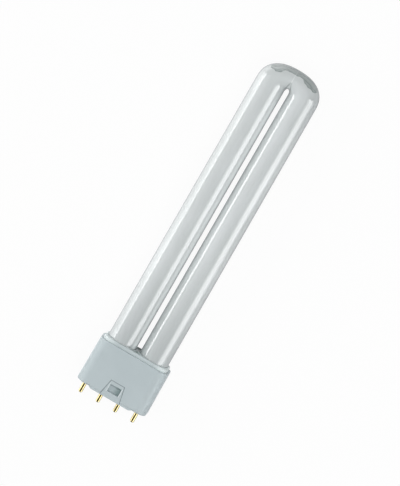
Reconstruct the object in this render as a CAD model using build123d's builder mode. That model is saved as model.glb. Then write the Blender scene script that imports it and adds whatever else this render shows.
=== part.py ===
from build123d import *
import os
from math import cos, radians, sin, tan

# Compact fluorescent lamp: a glass tube bent into a narrow U and cemented into a four-pin cap.
# Millimetres. +Y runs along the lamp from the cap's seat to the crown, +X goes across the two
# legs and +Z comes out of a broad face. The origin is the middle of the cap's seat.

# Glass tube
lamp_length = 209.6
tube_diameter = 17.3
slot_width = 2.6
bend_share = 0.688
bend_squareness = 2.4
bend_flattening = 0.45
slot_end_gap = 2.6
bend_sections = 9
seal_width = 12.0
seal_thickness = 3.2
seal_length = 6.2
seal_shoulder = 4.2
seal_slope = 42.0

# Cap shell
cap_corner = 6.2
cap_draft = 0.75
cap_wall = 1.3
cap_floor = 2.5
cap_edge_round = 0.9
cap_rim_chamfer = 0.3
shoulder_width = 0.9
seat_width = 24.0
seat_rise = 0.8
seat_slant = 1.5
seat_setback = 0.3
notch_width = 2.0
notch_height = 0.8
notch_depth = 1.6
notch_offset = 1.3

# Guide panel and catch window on each broad face
guide_depth = 0.2
guide_margin = 0.75
guide_flare = 2.0
guide_head = 1.9
window_width = 6.95
window_height = 4.6
window_bottom = 3.6
window_depth = 1.4
window_slope = 1.1
window_back = 1.1
rim_width = 0.6
rim_height = 5.4
rim_rise = 0.15

# Key socket between the two inner pins
key_depth_across = 9.0
key_length = 10.0
key_wall = 0.9
key_clearance = 0.3

# Tube holder
holder_height = 12.0
holder_proud = 2.0
holder_wall = 0.95
holder_clearance = 0.12
holder_edge_chamfer = 0.4
cement_gap = 0.35
lip_height = 1.6
lip_clearance = 0.12
web_pocket_depth = 3.0
web_pocket_wall = 1.2

# Contact pins
pin_diameter = 2.35
pin_pitch = 11.0
pin_length = 6.8
pin_fit = 0.03
pin_side_room = 0.4
pin_tip_chamfer = 0.5
pin_end_wall = 0.7
pin_bore = 1.1
neck_diameter = 1.9
neck_proud = 0.1
recess_diameter = 2.9
recess_depth = 0.4
flange_diameter = 3.6
flange_thickness = 0.8

# Lead wires
wire_diameter = 0.6
wire_spacing = 5.0
wire_straight = 2.0
wire_room = 8.2

# What follows from them
tube_radius = tube_diameter / 2
leg_spacing = tube_diameter + slot_width
leg_x = leg_spacing / 2
bend_height = slot_end_gap + bend_share * tube_diameter
pivot_y = lamp_length - bend_height
bore_radius = tube_radius + cement_gap
pin_tip = -pin_length
flange_top = cap_floor + flange_thickness
seal_bottom = flange_top + wire_room
holder_bottom = seal_bottom + seal_length
holder_top = holder_bottom + holder_height
row_width = 3 * pin_pitch + flange_diameter + 2 * pin_side_room
holder_width = max(
    leg_spacing + 2 * (bore_radius + holder_wall),
    row_width + 2 * (shoulder_width - holder_clearance),
)
holder_depth = 2 * (bore_radius + holder_wall)
cap_height = holder_top - holder_proud
body_height = cap_height - seat_rise
draft_inset = body_height * tan(radians(cap_draft))
mouth_width = holder_width + 2 * holder_clearance
mouth_depth = holder_depth + 2 * holder_clearance
mouth_corner = cap_corner - draft_inset - cap_wall
cap_width = mouth_width + 2 * (cap_wall + draft_inset)
cap_depth = mouth_depth + 2 * (cap_wall + draft_inset)
holder_corner = mouth_corner - holder_clearance
guide_floor = cap_depth / 2 - guide_depth
guide_height = window_bottom + window_height + guide_head
guide_top_width = window_width + 2 * guide_margin
guide_bottom_width = guide_top_width + 2 * guide_flare
window_floor = guide_floor - window_depth
key_width = pin_pitch - flange_diameter - 2 * (key_wall + key_clearance)
pin_xs = [pin_pitch * (number - 1.5) for number in range(4)]


def level(height):
    """The plane square to the lamp at a height: local x is +X and local y is -Z."""
    return Plane(origin=(0, height, 0), x_dir=(1, 0, 0), z_dir=(0, 1, 0))


def face_plane(side, distance):
    """The plane along a broad face: local x is +X, local y is +Y, and side is 1 or -1."""
    if side > 0:
        return Plane.XY.offset(distance)
    return Plane(origin=(0, 0, -distance), x_dir=(-1, 0, 0), z_dir=(0, 0, -1))


def pin_face(x):
    """The height of the cap's outer face at a pin: the inner pins stand in the raised seat."""
    return 0 if abs(x) < seat_width / 2 else seat_rise


def bend_reach(angle):
    """The inner and outer distance of the bend from its pivot, at an angle from +X."""
    across = abs(cos(radians(angle)))
    along = abs(sin(radians(angle)))
    inner = 1 / ((across / (leg_x - tube_radius)) ** 2 + (along / slot_end_gap) ** 2) ** 0.5
    outer_across = (across / (leg_x + tube_radius)) ** bend_squareness
    outer_along = (along / bend_height) ** bend_squareness
    return inner, 1 / (outer_across + outer_along) ** (1 / bend_squareness)


# Glass tube: the bend is swept round its pivot, then come the legs and their pinched seals
with BuildPart() as glass_tube:
    for number in range(bend_sections):
        angle = 180 * number / (bend_sections - 1)
        inner, outer = bend_reach(angle)
        half_depth = tube_radius - bend_flattening * sin(radians(angle)) ** 2
        ray = Vector(cos(radians(angle)), sin(radians(angle)), 0)
        turn = Vector(-sin(radians(angle)), cos(radians(angle)), 0)
        with BuildSketch(Plane(origin=(0, pivot_y, 0), x_dir=ray, z_dir=turn)):
            with BuildLine():
                middle = ((inner + outer) / 2, 0)
                EllipticalCenterArc(middle, (outer - inner) / 2, half_depth, arc_size=180)
                EllipticalCenterArc(middle, (outer - inner) / 2, half_depth, start_angle=180, arc_size=180)
            make_face()
    with BuildLine() as bend_path:
        EllipticalCenterArc((0, pivot_y), leg_x, (slot_end_gap + bend_height) / 2, arc_size=180)
    sweep(path=bend_path.line, multisection=True)
    with BuildSketch(level(holder_bottom)):
        with Locations((-leg_x, 0), (leg_x, 0)):
            Circle(tube_radius)
    extrude(amount=pivot_y - holder_bottom)
    with BuildSketch(level(holder_bottom)):
        with Locations((-leg_x, 0), (leg_x, 0)):
            Circle(tube_radius)
    extrude(amount=-seal_shoulder, taper=seal_slope)
    with BuildSketch(level(seal_bottom)):
        with Locations((-leg_x, 0), (leg_x, 0)):
            SlotOverall(seal_width, seal_thickness)
    extrude(amount=holder_bottom - seal_bottom)

# Cap shell: the drafted moulding with its raised seat, its two-step cavity and the pin holes
with BuildPart() as cap_shell:
    with BuildSketch(level(seat_rise)):
        RectangleRounded(cap_width, cap_depth, cap_corner)
    extrude(amount=body_height, taper=cap_draft)
    fillet(cap_shell.edges().group_by(Axis.Y)[0], cap_edge_round)
    chamfer(cap_shell.edges().group_by(Axis.Y)[-1], cap_rim_chamfer)
    with BuildSketch(Plane.XY):
        with BuildLine():
            Polyline(
                (-seat_width / 2, 0),
                (seat_width / 2, 0),
                (seat_width / 2 + seat_slant, seat_rise),
                (seat_width / 2 + seat_slant, cap_floor),
                (-seat_width / 2 - seat_slant, cap_floor),
                (-seat_width / 2 - seat_slant, seat_rise),
                close=True,
            )
        make_face()
    extrude(amount=cap_depth / 2 - seat_setback, both=True)
    with BuildSketch(level(holder_bottom)):
        RectangleRounded(mouth_width, mouth_depth, mouth_corner)
    extrude(amount=cap_height - holder_bottom, mode=Mode.SUBTRACT)
    with BuildSketch(level(cap_floor)):
        RectangleRounded(
            mouth_width - 2 * shoulder_width,
            mouth_depth - 2 * shoulder_width,
            mouth_corner - shoulder_width,
        )
    extrude(amount=holder_bottom - cap_floor, mode=Mode.SUBTRACT)
    # Walls round the key socket, and the thick places behind the catch windows
    with BuildSketch(level(cap_floor)):
        Rectangle(key_width + 2 * key_wall, key_depth_across + 2 * key_wall)
        for side in (-1, 1):
            with Locations((0, side * (window_floor - window_back))):
                Rectangle(
                    window_width + 2 * window_back,
                    cap_depth / 2 - cap_wall - window_floor + window_back,
                    align=(Align.CENTER, Align.MIN if side > 0 else Align.MAX),
                )
    extrude(amount=key_length + key_wall - cap_floor)
    with BuildSketch(level(0)):
        Rectangle(key_width, key_depth_across)
    extrude(amount=key_length, mode=Mode.SUBTRACT)
    # Guide panel, open at the bottom, and the catch window in it
    for side in (-1, 1):
        with BuildSketch(face_plane(side, guide_floor)):
            with BuildLine():
                Polyline(
                    (-guide_bottom_width / 2, 0),
                    (guide_bottom_width / 2, 0),
                    (guide_top_width / 2, guide_height),
                    (-guide_top_width / 2, guide_height),
                    close=True,
                )
            make_face()
        extrude(amount=cap_depth, mode=Mode.SUBTRACT)
        with BuildSketch(Plane.YZ.offset(-window_width / 2)):
            with BuildLine():
                Polyline(
                    (window_bottom, side * cap_depth / 2),
                    (window_bottom, side * window_floor),
                    (window_bottom + window_height - window_slope, side * window_floor),
                    (window_bottom + window_height, side * guide_floor),
                    (window_bottom + window_height, side * cap_depth / 2),
                    close=True,
                )
            make_face()
        extrude(amount=window_width, mode=Mode.SUBTRACT)
        rim_bottom = window_bottom + (window_height - rim_height) / 2
        with BuildSketch(face_plane(side, guide_floor)):
            for end in (-1, 1):
                with Locations((end * (window_width + rim_width) / 2, rim_bottom + rim_height / 2)):
                    Rectangle(rim_width, rim_height)
        extrude(amount=rim_rise)
    # Small notches in the bottom edge, next to the seat
    notch_x = seat_width / 2 + notch_offset + notch_width / 2
    with BuildSketch(level(seat_rise)):
        for side in (-1, 1):
            with Locations((-notch_x, side * cap_depth / 2), (notch_x, side * cap_depth / 2)):
                Rectangle(notch_width, 2 * notch_depth)
    extrude(amount=notch_height, mode=Mode.SUBTRACT)
    # Pin holes, each with a shallow round recess at the outside
    with BuildSketch(level(0)):
        with Locations(*[(x, 0) for x in pin_xs]):
            Circle(neck_diameter / 2 + pin_fit)
    extrude(amount=cap_floor, mode=Mode.SUBTRACT)
    for x in pin_xs:
        with BuildSketch(level(pin_face(x))):
            with Locations((x, 0)):
                Circle(recess_diameter / 2)
        extrude(amount=recess_depth, mode=Mode.SUBTRACT)

# Tube holder: the block in the mouth of the cap, with a bore and a lip for each leg
with BuildPart() as tube_holder:
    with BuildSketch(level(holder_bottom)):
        RectangleRounded(holder_width, holder_depth, holder_corner)
    extrude(amount=holder_height)
    chamfer(tube_holder.edges().group_by(Axis.Y)[-1], holder_edge_chamfer)
    with BuildSketch(level(holder_bottom)):
        with Locations((-leg_x, 0), (leg_x, 0)):
            Circle(bore_radius)
    extrude(amount=holder_height - lip_height, mode=Mode.SUBTRACT)
    with BuildSketch(level(holder_bottom)):
        with Locations((-leg_x, 0), (leg_x, 0)):
            Circle(tube_radius + lip_clearance)
    extrude(amount=holder_height, mode=Mode.SUBTRACT)
    # The web between the bores is sunk, so that it doesn't touch the glass
    with BuildSketch(level(holder_top)):
        Rectangle(leg_spacing, holder_depth - 2 * web_pocket_wall)
        with Locations((-leg_x, 0), (leg_x, 0)):
            Circle(bore_radius + web_pocket_wall, mode=Mode.SUBTRACT)
    extrude(amount=-web_pocket_depth, mode=Mode.SUBTRACT)

# Cement between each leg and its bore
cements = []
for name, side in (("cement_left", -1), ("cement_right", 1)):
    with BuildPart() as cement:
        with BuildSketch(level(holder_bottom)):
            with Locations((side * leg_x, 0)):
                Circle(bore_radius)
                Circle(tube_radius, mode=Mode.SUBTRACT)
        extrude(amount=holder_height - lip_height)
    cement.part.label = name
    cements.append(cement.part)

# Contact pins: drawn brass, hollow for the wire, with a neck and a flange that the cap's floor holds
pins = []
for number, x in enumerate(pin_xs, start=1):
    shank_x = x + pin_diameter / 2
    neck_x = x + neck_diameter / 2
    bore_x = x + pin_bore / 2
    shank_top = pin_face(x) - neck_proud
    with BuildPart() as pin:
        with BuildSketch(Plane.XY):
            with BuildLine():
                Polyline(
                    (x, pin_tip),
                    (shank_x - pin_tip_chamfer, pin_tip),
                    (shank_x, pin_tip + pin_tip_chamfer),
                    (shank_x, shank_top),
                    (neck_x, shank_top),
                    (neck_x, cap_floor),
                    (x + flange_diameter / 2, cap_floor),
                    (x + flange_diameter / 2, flange_top),
                    (bore_x, flange_top),
                    (bore_x, pin_tip + pin_end_wall),
                    (x, pin_tip + pin_end_wall),
                    close=True,
                )
            make_face()
        revolve(axis=Axis((x, 0, 0), (0, 1, 0)))
    pin.part.label = f"contact_pin_{number}"
    pins.append(pin.part)

# Lead wires: from the foot of each seal, bent over to a pin and down to the end of its bore
wires = []
for number, pin_x in enumerate(pin_xs, start=1):
    leg_centre = leg_x if pin_x > 0 else -leg_x
    seal_x = leg_centre + (wire_spacing / 2 if pin_x > leg_centre else -wire_spacing / 2)
    with BuildPart() as wire:
        with BuildLine():
            path = Polyline(
                (seal_x, seal_bottom),
                (seal_x, seal_bottom - wire_straight),
                (pin_x, flange_top + wire_straight),
                (pin_x, pin_tip + pin_end_wall),
            )
        with BuildSketch(Plane(origin=path @ 0, z_dir=path % 0)):
            Circle(wire_diameter / 2)
        sweep(transition=Transition.RIGHT)
    wire.part.label = f"lead_wire_{number}"
    wires.append(wire.part)

glass_tube.part.label = "glass_tube"
cap_shell.part.label = "cap_shell"
tube_holder.part.label = "tube_holder"
os.makedirs("parts", exist_ok=True)
for piece in [glass_tube.part, cap_shell.part, tube_holder.part, *cements, *pins, *wires]:
    export_step(piece, f"parts/{piece.label}.step")
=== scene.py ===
"""Dresses the compact fluorescent lamp on its CAD frame, and sets the light, floor and camera.

Everything is in metres in the lamp's own frame: +Y runs from the cap's seat to the crown,
+X goes across the two legs and +Z comes out of the broad face that looks up.
"""

import logging
from dataclasses import dataclass, field
from enum import Enum
from math import cos, exp, pi, radians, sin, sqrt, tan

import bmesh
import bpy
from mathutils import Matrix, Vector


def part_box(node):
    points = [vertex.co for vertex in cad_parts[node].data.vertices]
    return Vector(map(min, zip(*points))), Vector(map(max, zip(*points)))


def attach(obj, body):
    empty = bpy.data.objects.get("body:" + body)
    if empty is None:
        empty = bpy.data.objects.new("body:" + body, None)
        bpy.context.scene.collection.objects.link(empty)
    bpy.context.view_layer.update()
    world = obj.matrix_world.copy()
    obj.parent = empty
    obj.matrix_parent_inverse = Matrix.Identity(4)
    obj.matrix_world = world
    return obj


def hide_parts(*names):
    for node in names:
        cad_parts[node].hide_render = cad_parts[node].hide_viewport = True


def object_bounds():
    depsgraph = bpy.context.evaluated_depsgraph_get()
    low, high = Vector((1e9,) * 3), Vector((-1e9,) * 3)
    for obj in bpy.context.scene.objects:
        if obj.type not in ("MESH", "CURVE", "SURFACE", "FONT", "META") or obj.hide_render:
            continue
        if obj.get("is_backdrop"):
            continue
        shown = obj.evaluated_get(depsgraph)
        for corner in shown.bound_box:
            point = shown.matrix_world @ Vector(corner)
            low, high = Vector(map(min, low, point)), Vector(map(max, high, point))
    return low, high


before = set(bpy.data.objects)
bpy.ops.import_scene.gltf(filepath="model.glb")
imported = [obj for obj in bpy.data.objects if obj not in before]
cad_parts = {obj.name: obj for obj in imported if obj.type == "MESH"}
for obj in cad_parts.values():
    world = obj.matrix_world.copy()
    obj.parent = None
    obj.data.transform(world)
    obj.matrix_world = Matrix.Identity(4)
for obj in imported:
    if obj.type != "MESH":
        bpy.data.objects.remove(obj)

MM = 0.001
BODY = "root"
SEEN_RAYS = ("Is Camera Ray", "Is Glossy Ray", "Is Transmission Ray")

log = logging.getLogger("lamp")

Colour = tuple[float, float, float]
Socket = bpy.types.NodeSocket


class Slot(Enum):
    """The record's material slots."""

    TUBE = "tube_glass"
    CAP = "cap_plastic"
    HOLDER = "holder_plastic"
    PIN = "pin_brass"
    LEAD = "lead_metal"
    CEMENT = "cement"


@dataclass(frozen=True)
class Pattern:
    """A noise: its cells to a metre, its octaves, the part of it that counts and its stretch."""

    scale: float
    detail: float
    low: float
    high: float
    stretch: tuple[float, float, float] = (1, 1, 1)


class Nodes:
    """A node tree, with short calls for the nodes that the finishes and the studio share."""

    def __init__(self, tree: bpy.types.NodeTree) -> None:
        """Takes up the tree that the nodes are added to."""
        self.nodes = tree.nodes
        self.links = tree.links

    def put(self, socket: Socket, value: Socket | Colour | float) -> None:
        """Links an output to an input, or sets the input's constant.

        Args:
            socket: The input.
            value: An output, a colour or a number.
        """
        if isinstance(value, Socket):
            self.links.new(value, socket)
        else:
            socket.default_value = (*value, 1.0) if isinstance(value, tuple) else value

    def place_of(self, coordinates: str) -> Socket:
        """The Texture Coordinate output of that name."""
        return self.nodes.new("ShaderNodeTexCoord").outputs[coordinates]

    def split(self, place: Socket) -> list[Socket]:
        """Takes a place apart.

        Args:
            place: The output that holds the place.

        Returns:
            Its X, Y and Z outputs.
        """
        node = self.nodes.new("ShaderNodeSeparateXYZ")
        self.put(node.inputs[0], place)
        return [node.outputs[name] for name in "XYZ"]

    def calc(self, kind: str, *terms: Socket | float) -> Socket:
        """One Math node.

        Args:
            kind: The node's operation.
            terms: Its inputs, sockets or numbers.

        Returns:
            The result.
        """
        node = self.nodes.new("ShaderNodeMath")
        node.operation = kind
        for socket, term in zip(node.inputs, terms):
            self.put(socket, term)
        return node.outputs[0]

    def product(self, first: Socket, *others: Socket | float) -> Socket:
        """Multiplies a value by others.

        Args:
            first: The value.
            others: Sockets or numbers.

        Returns:
            The product.
        """
        for other in others:
            first = self.calc("MULTIPLY", first, other)
        return first

    def span(
        self,
        source: Socket,
        low: float,
        high: float,
        to_low: float = 0.0,
        to_high: Socket | float = 1.0,
        smooth: bool = True,
    ) -> Socket:
        """Maps a range onto another one, clamped.

        Args:
            source: The value to map.
            low: Where the range starts.
            high: Where the range ends.
            to_low: The result at its start.
            to_high: The result at its end.
            smooth: Whether the change eases in and out.

        Returns:
            The mapped value.
        """
        node = self.nodes.new("ShaderNodeMapRange")
        node.interpolation_type = "SMOOTHSTEP" if smooth else "LINEAR"
        names = ("Value", "From Min", "From Max", "To Min", "To Max")
        for name, value in zip(names, (source, low, high, to_low, to_high)):
            self.put(node.inputs[name], value)
        return node.outputs[0]

    def rays(self, *kinds: str) -> Socket:
        """Whether a ray is of one of a few kinds.

        Args:
            kinds: The names of Light Path's outputs.

        Returns:
            1 for rays of those kinds.
        """
        path = self.nodes.new("ShaderNodeLightPath")
        total = path.outputs[kinds[0]]
        for kind in kinds[1:]:
            total = self.calc("MAXIMUM", total, path.outputs[kind])
        return total


class Bench(Nodes):
    """A material's node tree round one Principled shader, on object coordinates."""

    def __init__(self, name: str) -> None:
        """Starts a material.

        Args:
            name: The material's name.
        """
        self.material = bpy.data.materials.new(name)
        self.material.use_nodes = True
        super().__init__(self.material.node_tree)
        self.nodes.clear()
        output = self.nodes.new("ShaderNodeOutputMaterial")
        self.shader = self.nodes.new("ShaderNodeBsdfPrincipled")
        self.put(output.inputs["Surface"], self.shader.outputs[0])
        self.place = self.place_of("Object")

    def set(self, **values: Socket | Colour | float) -> None:
        """Feeds the shader's own sockets.

        Args:
            values: Socket names with underscores for spaces, and what goes into them.
        """
        for name, value in values.items():
            self.put(self.shader.inputs[name.replace("_", " ")], value)

    def noise(self, pattern: Pattern, place: Socket | None = None) -> Socket:
        """A noise pattern on the object.

        Args:
            pattern: The pattern.
            place: Where it is looked up, the object coordinates if it is left out.

        Returns:
            The noise from 0 to 1.
        """
        mapping = self.nodes.new("ShaderNodeMapping")
        mapping.inputs["Scale"].default_value = pattern.stretch
        self.put(mapping.inputs["Vector"], self.place if place is None else place)
        node = self.nodes.new("ShaderNodeTexNoise")
        self.put(node.inputs["Scale"], pattern.scale)
        self.put(node.inputs["Detail"], pattern.detail)
        self.put(node.inputs["Vector"], mapping.outputs[0])
        return node.outputs["Fac"]

    def spread(
        self,
        pattern: Pattern,
        to_low: float = 0.0,
        to_high: float = 1.0,
        smooth: bool = True,
        place: Socket | None = None,
    ) -> Socket:
        """A noise pattern with the part that counts mapped onto another range.

        Args:
            pattern: The pattern.
            to_low: The result where that part starts.
            to_high: The result where it ends.
            smooth: Whether the change eases in and out.
            place: Where it is looked up, the object coordinates if it is left out.

        Returns:
            The mapped noise.
        """
        noise = self.noise(pattern, place)
        return self.span(noise, pattern.low, pattern.high, to_low, to_high, smooth)

    def joined(self, *parts: Socket) -> Socket:
        """Joins three values into one place.

        Args:
            parts: Its X, Y and Z.

        Returns:
            The place.
        """
        node = self.nodes.new("ShaderNodeCombineXYZ")
        for socket, part in zip(node.inputs, parts):
            self.put(socket, part)
        return node.outputs[0]

    def curve(self, source: Socket, points: tuple[tuple[float, float], ...]) -> Socket:
        """A curve through a few points, both axes from 0 to 1.

        Args:
            source: The value that runs along the curve.
            points: The curve's points from left to right.

        Returns:
            The curve's height.
        """
        node = self.nodes.new("ShaderNodeFloatCurve")
        line = node.mapping.curves[0]
        for index, point in enumerate(points):
            if index < len(line.points):
                line.points[index].location = point
            else:
                line.points.new(*point)
        node.mapping.update()
        self.put(node.inputs["Value"], source)
        return node.outputs[0]

    def blend(self, share: Socket, first: Socket | Colour, second: Socket | Colour) -> Socket:
        """Mixes two colours.

        Args:
            share: How much of the second shows.
            first: A colour or an output.
            second: A colour or an output.

        Returns:
            The mixed colour.
        """
        node = self.nodes.new("ShaderNodeMix")
        node.data_type = "RGBA"
        self.put(node.inputs["Factor"], share)
        for name, value in (("A", first), ("B", second)):
            self.put(next(s for s in node.inputs if s.name == name and s.type == "RGBA"), value)
        return next(s for s in node.outputs if s.type == "RGBA")

    def bump(self, height: Socket, depth: float, strength: float) -> None:
        """Roughens the shader's surface.

        Args:
            height: The pattern from 0 to 1.
            depth: Its height in metres.
            strength: How much of it shows.
        """
        node = self.nodes.new("ShaderNodeBump")
        for name, value in (("Distance", depth), ("Strength", strength), ("Height", height)):
            self.put(node.inputs[name], value)
        self.set(Normal=node.outputs[0])


@dataclass(frozen=True)
class CoatedGlass:
    """Clear glass over a white powder coating, which stops short of the top of the crown."""

    powder: Colour = (0.62, 0.655, 0.66)
    powder_shade: Colour = (0.57, 0.605, 0.605)
    powder_cloud: Pattern = Pattern(55.0, 2.0, 0.35, 0.65, (1, 0.35, 1))
    # painted light: a whiter powder on the left leg's inner flank, beside the slot, stands in for
    # light falling there
    painted_light_powder: Colour = (0.86, 0.90, 0.90)
    inner_low: float = -4.3 * MM
    inner_high: float = -2.3 * MM
    inner_fade: float = 14.0 * MM
    # the glass wall's colour; also used for the darkening towards the cap and for the painted
    # shade on the crown's right flank
    wall: Colour = (0.33, 0.36, 0.37)
    # the powder is darker towards the cap
    end_low: float = 28.0 * MM
    end_high: float = 84.0 * MM
    end_darkness: float = 0.34
    # painted shade: the crown's right flank darkens towards the wall colour, on the side away
    # from the light
    flank_low: float = 11.0 * MM
    flank_high: float = 17.5 * MM
    flank_darkness: float = 0.5
    flank_fade: float = 31.0 * MM
    clear: Colour = (0.36, 0.40, 0.40)
    clear_shade: Colour = (0.24, 0.28, 0.275)
    # painted light: the bare glass turns paler towards the left, where the light falls
    clear_painted_light: Colour = (0.47, 0.51, 0.51)
    pale_low: float = -13.0 * MM
    pale_high: float = 12.0 * MM
    pale_share: float = 0.8
    streaks: Pattern = Pattern(520.0, 5.0, 0.40, 0.66, (0.3, 3.4, 1.5))
    bow_radius: float = 30.0 * MM
    fringe: Colour = (0.21, 0.25, 0.245)
    fringe_strength: float = 3.6
    crease_low: float = 197.7 * MM
    crease_top: float = 203.2 * MM
    crease_half_width: float = 1.4 * MM
    crease_line: float = 0.36 * MM
    # painted shade along the crease's two lines
    crease_darkness: float = 0.6
    seam_rise: float = 1.5 * MM
    seam_top: float = 208.4 * MM
    seam_share: float = 0.75
    seam_end: float = 0.2
    # painted highlight along the crease's seam
    seam_highlight: Colour = (0.86, 0.89, 0.89)
    rim_low: float = 0.52
    rim_high: float = 0.8
    rim_darkness: float = 0.8
    coat_low: float = 0.58
    coat_high: float = 0.85
    coat_least: float = 0.3
    gloss: float = 0.07
    glass_ior: float = 1.5
    powder_roughness: float = 0.6
    ridge_fall: float = 0.23
    clear_low: float = 202.8 * MM
    clear_high: float = 209.0 * MM
    clear_half_width: float = 18.7 * MM
    edge_blur: float = 0.42 * MM
    edge_grain: Pattern = Pattern(300.0, 3.0, 0.3, 0.7)
    edge_raggedness: float = 0.45 * MM
    edge_drift: Pattern = Pattern(240.0, 4.0, 0.3, 0.7)
    edge_wander: float = 1.1 * MM
    coating_edge: tuple[tuple[float, float], ...] = (
        (0.0, 1.0),
        (0.11, 1.0),
        (0.135, 0.05),
        (0.22, 0.0),
        (0.29, 0.18),
        (0.36, 0.53),
        (0.50, 0.55),
        (0.625, 0.62),
        (0.67, 0.27),
        (0.77, 0.12),
        (0.875, 0.03),
        (0.905, 1.0),
        (1.0, 1.0),
    )

    def make(self) -> bpy.types.Material:
        """Builds the material.

        Returns:
            The material.
        """
        bench = Bench("coated_glass")
        x, y, z = bench.split(bench.place)
        bare = self.bare_patch(bench, x, y, z)
        clear = self.clear_glass(bench, x, y, z)
        glass = bench.blend(bare, self.coating(bench, x, y), clear)
        edge = bench.product(bare, bench.calc("SUBTRACT", 1.0, bare), self.fringe_strength)
        glass = self.crease_lines(bench, x, y, bench.blend(edge, glass, self.fringe))
        facing = bench.nodes.new("ShaderNodeLayerWeight").outputs["Facing"]
        rim = bench.span(facing, self.rim_low, self.rim_high, 0.0, self.rim_darkness)
        bench.set(
            Base_Color=bench.blend(rim, glass, self.wall),
            Roughness=self.powder_roughness,
            Specular_IOR_Level=0.0,
            Coat_Weight=bench.span(facing, self.coat_low, self.coat_high, 1.0, self.coat_least),
            Coat_Roughness=self.gloss,
            Coat_IOR=self.glass_ior,
        )
        return bench.material

    def coating(self, bench: Bench, x: Socket, y: Socket) -> Socket:
        """The powder: darker towards the cap, with painted shade on the crown's right flank and
        painted light on the left leg's inner flank beside the slot.

        Args:
            bench: The material's bench.
            x: The place across the lamp.
            y: The place along the lamp.

        Returns:
            The powder's colour.
        """
        powder = bench.blend(bench.spread(self.powder_cloud), self.powder, self.powder_shade)
        # darker towards the cap
        darker_near_cap = bench.span(y, self.end_low, self.end_high, self.end_darkness, 0.0)
        # painted shade on the crown's right flank
        painted_flank_shade = bench.product(
            bench.span(x, self.flank_low, self.flank_high, 0.0, self.flank_darkness),
            bench.span(y, self.crease_low - self.flank_fade, self.crease_top),
        )
        # painted light on the left leg's inner flank beside the slot
        inner = bench.product(
            bench.span(x, self.inner_low, self.inner_high),
            bench.calc("LESS_THAN", x, 0.0),
            bench.span(y, self.crease_low - self.inner_fade, self.crease_low, 1.0, 0.0),
        )
        for share, colour in ((darker_near_cap, self.wall), (painted_flank_shade, self.wall), (inner, self.painted_light_powder)):
            powder = bench.blend(share, powder, colour)
        return powder

    def clear_glass(self, bench: Bench, x: Socket, y: Socket, z: Socket) -> Socket:
        """The bare glass, streaked along the bend, with painted light making it paler on the
        left.

        Args:
            bench: The material's bench.
            x: The place across the lamp.
            y: The place along the lamp.
            z: The place through the lamp.

        Returns:
            The bare glass's colour.
        """
        bow = bench.product(x, x, 0.5 / self.bow_radius)
        along = bench.joined(x, bench.calc("ADD", y, bow), z)
        # painted light: paler towards the left
        side = bench.span(x, self.pale_low, self.pale_high, self.pale_share, 0.0)
        clear = bench.blend(side, self.clear, self.clear_painted_light)
        return bench.blend(bench.spread(self.streaks, place=along), clear, self.clear_shade)

    def crease_lines(self, bench: Bench, x: Socket, y: Socket, glass: Socket) -> Socket:
        """Paints shade along the two lines of the crease above the slot and a painted highlight
        along its seam.

        Args:
            bench: The material's bench.
            x: The place across the lamp.
            y: The place along the lamp.
            glass: The glass's colour so far.

        Returns:
            The colour with the crease in it.
        """
        offset = bench.calc("ABSOLUTE", x)
        spread = bench.span(
            y, self.crease_low, self.crease_top, self.crease_half_width, 0.0, smooth=False
        )
        beside = bench.calc("ABSOLUTE", bench.calc("SUBTRACT", offset, spread))
        # painted shade along the two lines of the crease
        line = bench.product(
            bench.span(beside, 0.0, self.crease_line, self.crease_darkness, 0.0),
            bench.calc("LESS_THAN", y, self.crease_top),
            bench.calc("GREATER_THAN", y, self.crease_low),
        )
        # painted highlight along the seam
        seam = bench.product(
            bench.span(offset, 0.0, self.crease_line, self.seam_share, 0.0),
            bench.span(y, self.crease_top - self.seam_rise, self.crease_top),
            bench.span(y, self.crease_top, self.seam_top, 1.0, self.seam_end),
        )
        return bench.blend(seam, bench.blend(line, glass, self.clear_shade), self.seam_highlight)

    def bare_patch(self, bench: Bench, x: Socket, y: Socket, z: Socket) -> Socket:
        """The part of the crown without powder: two patches joined by a narrow band.

        Args:
            bench: The material's bench.
            x: The place across the lamp.
            y: The place along the lamp.
            z: The place through the lamp.

        Returns:
            1 where the glass is bare.
        """
        ragged, wander = (
            bench.spread(pattern, -reach, reach, smooth=False)
            for pattern, reach in (
                (self.edge_grain, self.edge_raggedness),
                (self.edge_drift, self.edge_wander),
            )
        )
        fall = bench.product(bench.calc("ABSOLUTE", z), self.ridge_fall)
        height = bench.calc("ADD", bench.calc("SUBTRACT", y, fall), ragged)
        aside = bench.calc("ADD", x, wander)
        across = bench.span(aside, -self.clear_half_width, self.clear_half_width, smooth=False)
        edge = bench.curve(across, self.coating_edge)
        level = bench.span(edge, 0.0, 1.0, self.clear_low, self.clear_high, smooth=False)
        above = bench.calc("SUBTRACT", height, level)
        return bench.span(above, -self.edge_blur, self.edge_blur)


@dataclass(frozen=True)
class MouldedPlastic:
    """Satin moulded plastic with a fine grain."""

    name: str
    colour: Colour
    shade: Colour
    cloud: Pattern = Pattern(70.0, 3.0, 0.3, 0.7)
    grain: Pattern = Pattern(2600.0, 2.0, 0.2, 0.8)
    grain_depth: float = 0.02 * MM
    grain_strength: float = 0.5
    smoothest: float = 0.36
    roughest: float = 0.5
    specular: float = 0.16

    def tint(self, bench: Bench) -> Socket:
        """The plastic's colour over its surface."""
        return bench.blend(bench.spread(self.cloud), self.colour, self.shade)

    def make(self) -> bpy.types.Material:
        """Builds the material.

        Returns:
            The material.
        """
        bench = Bench(self.name)
        grain = bench.noise(self.grain)
        bench.set(
            Base_Color=self.tint(bench),
            Roughness=bench.span(
                grain, self.grain.low, self.grain.high, self.smoothest, self.roughest
            ),
            Specular_IOR_Level=self.specular,
        )
        bench.bump(grain, self.grain_depth, self.grain_strength)
        return bench.material


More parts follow.
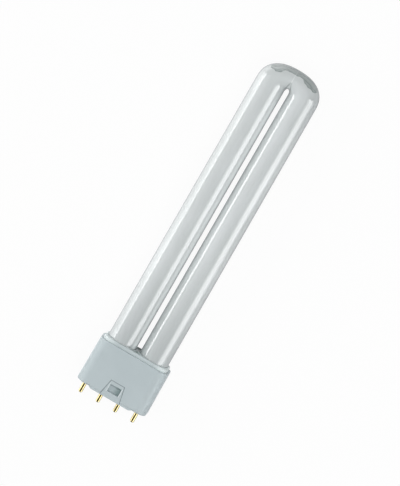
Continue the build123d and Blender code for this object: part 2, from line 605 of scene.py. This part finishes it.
@dataclass(frozen=True)
class ShellPlastic(MouldedPlastic):
    """The cap's plastic, with painted shade in the groove round each guide panel and in the
    windows, and painted highlights on the windows' rims.
    """

    # painted shade: a dark line round each guide panel's outline
    groove_shade: Colour = (0.14, 0.17, 0.18)
    groove_half_width: float = 0.2 * MM
    panel_top: float = 10.1 * MM
    panel_half_width: float = 4.225 * MM
    panel_flare: float = 2.0 * MM
    face_height: float = 10.9 * MM
    # painted shade in the catch windows, darker towards +X
    window_shade: Colour = (0.20, 0.27, 0.27)
    window_bottom: float = 3.6 * MM
    window_top: float = 8.2 * MM
    window_half_width: float = 3.475 * MM
    window_height: float = 9.9 * MM
    shade_from: float = -0.6
    shade_to: float = 0.8
    shade_least: float = 0.1
    shade_most: float = 0.85
    # painted highlight on the rims beside each window
    rim_highlight: Colour = (0.66, 0.72, 0.73)
    rim_width: float = 0.6 * MM
    rim_overlap: float = 0.4 * MM
    rim_share: float = 0.8

    def tint(self, bench: Bench) -> Socket:
        """The plastic's colour with painted shade in the grooves and the windows, and painted
        highlights on the windows' rims.

        Args:
            bench: The material's bench.

        Returns:
            The colour.
        """
        x, y, z = bench.split(bench.place)
        offset, depth = bench.calc("ABSOLUTE", x), bench.calc("ABSOLUTE", z)
        on_face = bench.product(
            bench.calc("GREATER_THAN", depth, self.face_height),
            bench.calc("GREATER_THAN", y, self.groove_half_width),
        )
        reach = (self.window_top - self.window_bottom) / 2
        middle = (self.window_bottom + self.window_top) / 2
        rise = bench.calc("ABSOLUTE", bench.calc("SUBTRACT", y, middle))
        # painted shade along the guide panel's outline
        groove_shaded = bench.product(self.groove_line(bench, offset, y), on_face)
        # painted shade in the window, deepening towards +X
        window_shaded = bench.product(
            bench.calc("LESS_THAN", offset, self.window_half_width),
            bench.calc("LESS_THAN", rise, reach),
            bench.calc("GREATER_THAN", depth, self.window_height),
            bench.span(
                x,
                self.shade_from * self.window_half_width,
                self.shade_to * self.window_half_width,
                self.shade_least,
                self.shade_most,
            ),
        )
        rim_middle = self.window_half_width + self.rim_width / 2
        beside = bench.calc("ABSOLUTE", bench.calc("SUBTRACT", offset, rim_middle))
        # painted highlight on the window's rims
        rim_highlighted = bench.product(
            bench.calc("LESS_THAN", beside, self.rim_width / 2),
            bench.calc("LESS_THAN", rise, reach + self.rim_overlap),
            on_face,
            self.rim_share,
        )
        tint = super().tint(bench)
        marks = ((groove_shaded, self.groove_shade), (window_shaded, self.window_shade), (rim_highlighted, self.rim_highlight))
        for share, colour in marks:
            tint = bench.blend(share, tint, colour)
        return tint

    def groove_line(self, bench: Bench, offset: Socket, y: Socket) -> Socket:
        """The outline of a guide panel, which widens towards the pins.

        Args:
            bench: The material's bench.
            offset: The distance from the middle of the face.
            y: The place along the lamp.

        Returns:
            1 along the outline.
        """
        flared = self.panel_half_width + self.panel_flare
        width = bench.span(y, 0.0, self.panel_top, flared, self.panel_half_width, smooth=False)
        beside = bench.calc("SUBTRACT", offset, width)
        above = bench.calc("SUBTRACT", y, self.panel_top)
        outside = bench.calc("ABSOLUTE", bench.calc("MAXIMUM", beside, above))
        return bench.span(outside, 0.5 * self.groove_half_width, self.groove_half_width, 1.0, 0.0)


@dataclass(frozen=True)
class HolderPlastic(MouldedPlastic):
    """The holder's plastic, with painted light making its two ends paler."""

    # painted highlight: paler towards the holder's two ends
    end_highlight: Colour = (0.70, 0.77, 0.775)
    pale_low: float = 11.0 * MM
    pale_high: float = 17.0 * MM

    def tint(self, bench: Bench) -> Socket:
        """The plastic's colour with painted light on its ends.

        Args:
            bench: The material's bench.

        Returns:
            The colour.
        """
        x, _, _ = bench.split(bench.place)
        lit_ends = bench.span(bench.calc("ABSOLUTE", x), self.pale_low, self.pale_high)
        return bench.blend(lit_ends, super().tint(bench), self.end_highlight)


@dataclass(frozen=True)
class DrawnMetal:
    """Metal with fine draw marks along the lamp and a little tarnish."""

    name: str
    colour: Colour
    tarnish: Colour
    smoothest: float
    roughest: float
    stain: Pattern = Pattern(900.0, 4.0, 0.45, 0.75)
    marks: Pattern = Pattern(6000.0, 2.0, 0.3, 0.7, (1, 0.04, 1))
    mark_depth: float = 0.008 * MM
    mark_strength: float = 0.4

    def make(self) -> bpy.types.Material:
        """Builds the material.

        Returns:
            The material.
        """
        bench = Bench(self.name)
        marks = bench.noise(self.marks)
        bench.set(
            Base_Color=bench.blend(bench.spread(self.stain), self.colour, self.tarnish),
            Roughness=bench.span(
                marks, self.marks.low, self.marks.high, self.smoothest, self.roughest
            ),
            Metallic=1.0,
        )
        bench.bump(marks, self.mark_depth, self.mark_strength)
        return bench.material


@dataclass(frozen=True)
class MattGrit:
    """Matt, grainy finish: dried cement, and the darker fill of the web pockets, whose colour is
    painted shade.
    """

    name: str
    colour: Colour
    shade: Colour
    grit: Pattern = Pattern(1500.0, 5.0, 0.4, 0.65)
    grit_depth: float = 0.08 * MM
    grit_strength: float = 0.8
    roughness: float = 0.95
    specular: float = 0.2

    def make(self) -> bpy.types.Material:
        """Builds the material.

        Returns:
            The material.
        """
        bench = Bench(self.name)
        grit = bench.noise(self.grit)
        shaded = bench.span(grit, self.grit.low, self.grit.high)
        bench.set(
            Base_Color=bench.blend(shaded, self.colour, self.shade),
            Roughness=self.roughness,
            Specular_IOR_Level=self.specular,
        )
        bench.bump(grit, self.grit_depth, self.grit_strength)
        return bench.material


@dataclass(frozen=True)
class Station:
    """Where one ring of the glass stands, and how wide it is across and through the lamp."""

    centre: Vector
    outward: Vector
    half_across: float
    half_through: float

    def matrix(self) -> Matrix:
        """The transform from a unit ring in the XY plane to this station.

        Returns:
            The transform.
        """
        through = Vector((0, 0, 1))
        turn = Matrix((self.outward, through, self.outward.cross(through))).transposed()
        size = Matrix.Diagonal((self.half_across, self.half_through, 1.0, 1.0))
        return Matrix.Translation(self.centre) @ turn.to_4x4() @ size


@dataclass
class GlassTube:
    """The one glass tube: two straight legs, the flat-topped bend and the pinched seals."""

    bend_share: float = 0.688
    bend_squareness: float = 2.4
    bend_flattening: float = 0.45 * MM
    slot_end_gap: float = 2.6 * MM
    seal_half_width: float = 6.0 * MM
    seal_half_thickness: float = 1.6 * MM
    seal_shoulder: float = 4.2 * MM
    crease_depth: float = 2.2 * MM
    crease_half_width: float = 1.3 * MM
    crease_line: float = 0.35 * MM
    crease_length: float = 5.4 * MM
    crease_reach: float = 5.2 * MM
    crease_start: float = -1.62 * MM
    valley_share: float = 0.55
    line_share: float = 0.45
    seam_height: float = 0.2 * MM
    seam_length: float = 10.5 * MM
    ring_segments: int = 96
    bend_rings: int = 192
    leg_rings: int = 24
    finish: CoatedGlass = field(default_factory=CoatedGlass)

    def __post_init__(self) -> None:
        """Reads the legs' size and place from the CAD."""
        low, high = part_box("glass_tube")
        holder_low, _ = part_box("tube_holder")
        self.radius = (high.z - low.z) / 2
        self.leg_x = (high.x - low.x) / 2 - self.radius
        self.bend_height = self.slot_end_gap + self.bend_share * 2 * self.radius
        self.pivot_y = high.y - self.bend_height
        self.seal_bottom = low.y
        self.holder_bottom = holder_low.y

    def bend_station(self, angle: float) -> Station:
        """A ring of the bend.

        Args:
            angle: The ring's angle from +X round the end of the slot.

        Returns:
            The ring's station.
        """
        across, along = abs(cos(angle)), abs(sin(angle))
        inner_x, outer_x = self.leg_x - self.radius, self.leg_x + self.radius
        inner = 1 / sqrt((across / inner_x) ** 2 + (along / self.slot_end_gap) ** 2)
        power = self.bend_squareness
        outer = (across / outer_x) ** power + (along / self.bend_height) ** power
        outer = outer ** (-1 / power)
        outward = Vector((cos(angle), sin(angle), 0))
        centre = Vector((0, self.pivot_y, 0)) + outward * (inner + outer) / 2
        half_through = self.radius - self.bend_flattening * along**2
        return Station(centre, outward, (outer - inner) / 2, half_through)

    def leg_stations(self, side: int) -> list[Station]:
        """The rings of one leg from its seal up to the bend.

        Args:
            side: 1 for the leg at +X and -1 for the other.

        Returns:
            The stations from bottom to top.
        """
        seal = (self.seal_half_width, self.seal_half_thickness)
        full = (self.radius, self.radius)
        places = [
            (self.seal_bottom, *seal),
            (self.holder_bottom - self.seal_shoulder, *seal),
        ]
        step = (self.pivot_y - self.holder_bottom) / self.leg_rings
        places += [
            (self.holder_bottom + step * number, *full) for number in range(self.leg_rings)
        ]
        outward = Vector((side, 0, 0))
        return [
            Station(Vector((side * self.leg_x, y, 0)), outward, across, through)
            for y, across, through in places
        ]

    def build(self) -> bpy.types.Object:
        """Extrudes a ring from seal to seal through every station.

        Returns:
            The tube, dressed.
        """
        bend = [
            self.bend_station(pi * number / self.bend_rings)
            for number in range(self.bend_rings + 1)
        ]
        stations = self.leg_stations(1) + bend + self.leg_stations(-1)[::-1]
        mesh = bmesh.new()
        made = bmesh.ops.create_circle(
            mesh, cap_ends=False, radius=1.0, segments=self.ring_segments
        )
        ring = made["verts"]
        edges = mesh.edges[:]
        placed = Matrix.Identity(4)
        for number, station in enumerate(stations):
            if number:
                made = bmesh.ops.extrude_edge_only(mesh, edges=edges)["geom"]
                ring = [part for part in made if isinstance(part, bmesh.types.BMVert)]
                fresh = set(ring)
                edges = [
                    part
                    for part in made
                    if isinstance(part, bmesh.types.BMEdge) and fresh.issuperset(part.verts)
                ]
            target = station.matrix()
            bmesh.ops.transform(mesh, matrix=target @ placed.inverted(), verts=ring)
            placed = target
        bmesh.ops.holes_fill(mesh, edges=mesh.edges[:])
        self.crease(mesh)
        bmesh.ops.recalc_face_normals(mesh, faces=mesh.faces[:])
        tube = finished(mesh, "lamp_tube", smooth=True)
        tube.data.materials.append(self.finish.make())
        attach(tube, BODY)
        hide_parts("glass_tube")
        return tube

    def crease(self, mesh: bmesh.types.BMesh) -> None:
        """Presses in the crease above the slot, where the legs meet, and raises its seam.

        Args:
            mesh: The tube's mesh.
        """
        start = self.pivot_y + self.slot_end_gap
        for vert in mesh.verts:
            rise = vert.co.y - start
            offset = abs(vert.co.x)
            if offset > self.crease_reach or not self.crease_start < rise < self.seam_length:
                continue
            fade = 1 - min(max(rise / self.crease_length, 0), 1)
            spread = self.crease_half_width * fade
            valley = exp(-((offset / (spread + self.crease_line)) ** 2))
            lines = exp(-(((offset - spread) / self.crease_line) ** 2))
            dent = self.valley_share * valley + self.line_share * lines
            depth = self.crease_depth * fade * dent
            if rise > 0:
                seam = min(rise / self.crease_length, 1) * sqrt(1 - rise / self.seam_length)
                depth -= self.seam_height * seam * exp(-((offset / self.crease_line) ** 2))
            depth *= abs(vert.co.z) / self.radius
            vert.co.z -= depth if vert.co.z > 0 else -depth


@dataclass
class Cap:
    """The moulded cap with the tube holder in its mouth and the cement round the legs."""

    shell: ShellPlastic = ShellPlastic("cap_grey", (0.475, 0.54, 0.56), (0.455, 0.52, 0.54))
    holder: HolderPlastic = HolderPlastic(
        "holder_grey", (0.53, 0.595, 0.605), (0.51, 0.575, 0.585)
    )
    cement: MattGrit = MattGrit("lamp_cement", (0.60, 0.58, 0.52), (0.46, 0.44, 0.39))
    # painted shade: the pocket fill is darker and greener than the holder, for the web lying in
    # shade between the legs
    shaded_filling: MattGrit = MattGrit("pocket_shade", (0.40, 0.48, 0.45), (0.33, 0.40, 0.375))
    web_wall: float = 1.2 * MM
    cement_gap: float = 0.35 * MM
    filling_depth: float = 2.6 * MM
    filling_drop: float = 0.3 * MM
    filling_rows: int = 12
    merge_distance: float = 0.001 * MM

    def fill_pockets(self) -> bpy.types.Object:
        """Fills the two pockets in the web between the legs, nearly up to the holder's top, in a
        darker colour that is painted shade.

        Returns:
            The filling, dressed.
        """
        tube_low, tube_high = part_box("glass_tube")
        _, holder_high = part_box("tube_holder")
        radius = (tube_high.z - tube_low.z) / 2
        leg_x = (tube_high.x - tube_low.x) / 2 - radius
        wall = radius + self.cement_gap + self.web_wall
        far = holder_high.z - self.web_wall
        near = sqrt(wall**2 - leg_x**2)
        top = holder_high.y - self.filling_drop
        mesh = bmesh.new()
        for side in (-1, 1):
            made = bmesh.ops.create_grid(
                mesh, x_segments=1, y_segments=self.filling_rows, size=1.0
            )
            for vert in made["verts"]:
                reach = near + (far - near) * (vert.co.y + 1) / 2
                gap = leg_x - sqrt(wall**2 - reach**2)
                vert.co = (vert.co.x * gap, top, side * reach)
        made = bmesh.ops.extrude_face_region(mesh, geom=mesh.faces[:])["geom"]
        lower = [part for part in made if isinstance(part, bmesh.types.BMVert)]
        bmesh.ops.translate(mesh, verts=lower, vec=(0, -self.filling_depth, 0))
        bmesh.ops.remove_doubles(mesh, verts=mesh.verts[:], dist=self.merge_distance)
        bmesh.ops.recalc_face_normals(mesh, faces=mesh.faces[:])
        shaded_filling = finished(mesh, "pocket_filling")
        shaded_filling.data.materials.append(self.shaded_filling.make())
        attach(shaded_filling, BODY)
        return shaded_filling

    def dress(self) -> list[bpy.types.Object]:
        """Gives the CAD nodes of the cap their finishes.

        Returns:
            The dressed pieces.
        """
        cement = self.cement.make()
        return [
            dressed("cap_shell", self.shell.make()),
            dressed("tube_holder", self.holder.make()),
            dressed("cement_left", cement),
            dressed("cement_right", cement),
        ]


@dataclass
class Contacts:
    """The four brass pins and the wires that join them to the tube."""

    count: int = 4
    brass: DrawnMetal = DrawnMetal(
        "pin_brass", (0.31, 0.265, 0.135), (0.18, 0.15, 0.07), 0.09, 0.24
    )
    wire: DrawnMetal = DrawnMetal("lead_metal", (0.60, 0.60, 0.60), (0.42, 0.40, 0.38), 0.25, 0.4)

    def dress(self) -> list[bpy.types.Object]:
        """Gives the pins and wires their finishes.

        Returns:
            The dressed pieces.
        """
        brass, wire = self.brass.make(), self.wire.make()
        pieces = []
        for number in range(1, self.count + 1):
            pieces.append(dressed(f"contact_pin_{number}", brass))
            pieces.append(dressed(f"lead_wire_{number}", wire))
        return pieces


def finished(mesh: bmesh.types.BMesh, name: str, smooth: bool = False) -> bpy.types.Object:
    """Turns a bmesh into an object at the origin.

    Args:
        mesh: The shape, in the lamp's frame.
        name: The piece's name.
        smooth: Whether its faces are shaded smooth.

    Returns:
        The new object.
    """
    data = bpy.data.meshes.new(name)
    mesh.to_mesh(data)
    mesh.free()
    data.polygons.foreach_set("use_smooth", [smooth] * len(data.polygons))
    piece = bpy.data.objects.new(name, data)
    bpy.context.scene.collection.objects.link(piece)
    return piece


def dressed(node: str, material: bpy.types.Material) -> bpy.types.Object:
    """Gives a CAD node its finish.

    Args:
        node: The node's name.
        material: Its material.

    Returns:
        The node's object.
    """
    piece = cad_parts[node]
    if not piece.data.materials:
        piece.data.materials.append(None)
    for holder in piece.material_slots:
        holder.link = "OBJECT"
        holder.material = material
    return piece


class Duty(Enum):
    """What a light does."""

    GLOSS = "shows in the gloss"
    FILL = "lights the surfaces"


@dataclass
class SoftBox:
    """A soft box that stands beside the lamp, parallel to it."""

    name: str
    duty: Duty
    angle: float
    distance: float
    width: float
    length: float
    middle_y: float
    radiance: float

    def build(self) -> None:
        """Adds the light, turned to the lamp's axis."""
        data = bpy.data.lights.new(self.name, "AREA")
        data.shape = "RECTANGLE"
        data.size, data.size_y = self.width, self.length
        data.energy = self.radiance * pi * self.width * self.length
        light = bpy.data.objects.new(self.name, data)
        bpy.context.scene.collection.objects.link(light)
        tilt = radians(self.angle)
        back = Vector((sin(tilt), 0, cos(tilt)))
        along = Vector((0, 1, 0))
        turn = Matrix((along.cross(back), along, back)).transposed().to_4x4()
        middle = back * self.distance + along * self.middle_y
        light.matrix_world = Matrix.Translation(middle) @ turn
        light.visible_glossy = self.duty is Duty.GLOSS
        light.visible_diffuse = self.duty is Duty.FILL


@dataclass
class Studio:
    """The pale floor, the light and the camera."""

    floor_size: float = 4.0
    floor_glow: float = 0.94
    paper: Colour = (0.8, 0.8, 0.8)
    white: Colour = (1.0, 1.0, 1.0)
    background: float = 0.985
    ambient: float = 0.5
    flag_edge: float = 0.22
    flag_core: float = 0.48
    end_flag_edge: float = 0.4
    end_flag_core: float = 0.7
    flag_depth: float = 0.94
    left_glow: float = 3.4
    left_edge: float = -0.09
    camera_distance: float = 5.0
    clip_start: float = 0.1
    clip_end: float = 20.0
    sensor: float = 36.0
    view_height: float = 268.1 * MM
    look_aside: float = 2.0
    look_down: float = 9.8
    lamp_turn: float = 29.9
    aim_right: float = 48.75 * MM
    aim_up: float = 84.6 * MM
    boxes: tuple[SoftBox, ...] = (
        SoftBox("strip_left", Duty.GLOSS, -68, 0.45, 0.09, 0.43, 0.08, 6.8),
        SoftBox("halo_left", Duty.GLOSS, -82, 0.47, 0.20, 0.45, 0.08, 5.0),
        SoftBox("sheen_left", Duty.GLOSS, -42, 0.60, 0.50, 0.50, 0.08, 0.6),
        SoftBox("sheen_edge", Duty.GLOSS, -50, 0.58, 0.30, 0.50, 0.08, 0.6),
        SoftBox("strip_right", Duty.GLOSS, 63, 0.46, 0.245, 0.43, 0.08, 4.4),
        SoftBox("halo_right", Duty.GLOSS, 64, 0.48, 0.468, 0.45, 0.08, 3.0),
        SoftBox("key_left", Duty.FILL, -66, 0.8, 0.5, 0.7, 0.10, 2.4),
        SoftBox("fill_right", Duty.FILL, 28, 0.8, 0.4, 0.7, 0.10, 2.5),
        SoftBox("box_top", Duty.FILL, 0, 1.2, 0.8, 0.8, 0.10, 0.8),
    )

    def build(self) -> None:
        """Sets up the floor, the lights, the world and the camera."""
        self.add_floor()
        for box in self.boxes:
            box.build()
        self.add_world()
        self.add_camera()
        bpy.context.scene.view_settings.view_transform = "Standard"

    def mirrored_glow(self, tree: Nodes) -> Socket:
        """The floor's brightness, which the lamp's left side mirrors more strongly.

        Args:
            tree: The floor's nodes.

        Returns:
            The strength of its glow.
        """
        x, _, _ = tree.split(tree.place_of("Object"))
        left = tree.span(x, self.left_edge, 0.0, self.left_glow, 0.0, smooth=False)
        return tree.calc("MULTIPLY_ADD", left, tree.rays("Is Glossy Ray"), 1.0)

    def add_floor(self) -> None:
        """Lays the floor under the lamp, which is white where it is seen and takes its shadow."""
        low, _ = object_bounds()
        mesh = bmesh.new()
        bmesh.ops.create_grid(mesh, x_segments=1, y_segments=1, size=self.floor_size / 2)
        bmesh.ops.translate(mesh, verts=mesh.verts[:], vec=(0, 0, low.z))
        floor = finished(mesh, "floor")
        material = bpy.data.materials.new("paper_floor")
        material.use_nodes = True
        tree = Nodes(material.node_tree)
        tree.nodes.clear()
        paper = tree.nodes.new("ShaderNodeBsdfDiffuse")
        tree.put(paper.inputs["Color"], self.paper)
        glow = tree.nodes.new("ShaderNodeEmission")
        tree.put(glow.inputs["Strength"], self.mirrored_glow(tree))
        share = tree.product(tree.rays(*SEEN_RAYS), self.floor_glow)
        mix = tree.nodes.new("ShaderNodeMixShader")
        for socket, value in zip(mix.inputs, (share, paper.outputs[0], glow.outputs[0])):
            tree.put(socket, value)
        output = tree.nodes.new("ShaderNodeOutputMaterial")
        tree.put(output.inputs["Surface"], mix.outputs[0])
        floor.data.materials.append(material)
        floor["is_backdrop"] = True

    def add_world(self) -> None:
        """Makes the world white where it is seen, soft elsewhere, and dark to gloss overhead."""
        world = bpy.data.worlds.new("studio")
        bpy.context.scene.world = world
        world.use_nodes = True
        tree = Nodes(world.node_tree)
        _, along, height = tree.split(tree.place_of("Generated"))
        depth = self.flag_depth * self.background
        flags = tree.calc(
            "MAXIMUM",
            tree.span(height, self.flag_edge, self.flag_core, 0.0, depth),
            tree.span(along, -self.end_flag_edge, -self.end_flag_core, 0.0, depth),
        )
        shaded = tree.product(flags, tree.rays("Is Glossy Ray"))
        shown = tree.calc("SUBTRACT", self.background, shaded)
        level = tree.span(tree.rays(*SEEN_RAYS), 0.0, 1.0, self.ambient, shown, smooth=False)
        back = tree.nodes["Background"]
        tree.put(back.inputs["Color"], self.white)
        tree.put(back.inputs["Strength"], level)

    def add_camera(self) -> None:
        """Sets the long lens above the lamp, turned as the photograph shows it."""
        view = Vector((tan(radians(self.look_aside)), tan(radians(self.look_down)), 1))
        view.normalize()
        lamp_up = Vector((0, 1, 0))
        lamp_up = (lamp_up - view * lamp_up.dot(view)).normalized()
        lamp_right = lamp_up.cross(view)
        turn = radians(self.lamp_turn)
        right = lamp_up * sin(turn) + lamp_right * cos(turn)
        up = lamp_up * cos(turn) - lamp_right * sin(turn)
        target = right * self.aim_right + up * self.aim_up
        data = bpy.data.cameras.new("camera")
        data.sensor_width = self.sensor
        data.lens = self.sensor * self.camera_distance / self.view_height
        data.clip_start, data.clip_end = self.clip_start, self.clip_end
        camera = bpy.data.objects.new("camera", data)
        bpy.context.scene.collection.objects.link(camera)
        place = Matrix.Translation(target + view * self.camera_distance)
        camera.matrix_world = place @ Matrix((right, up, view)).transposed().to_4x4()
        bpy.context.scene.camera = camera


def main() -> None:
    """Builds and dresses the lamp, then the studio round it."""
    logging.basicConfig(level=logging.INFO, format="%(name)s: %(message)s")
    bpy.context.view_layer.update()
    tube = GlassTube().build()
    log.info("%s: %d faces", tube.name, len(tube.data.polygons))
    cap = Cap()
    for piece in [cap.fill_pockets(), *cap.dress(), *Contacts().dress()]:
        log.info("%s: dressed", piece.name)
    Studio().build()


if __name__ == "__main__":
    main()
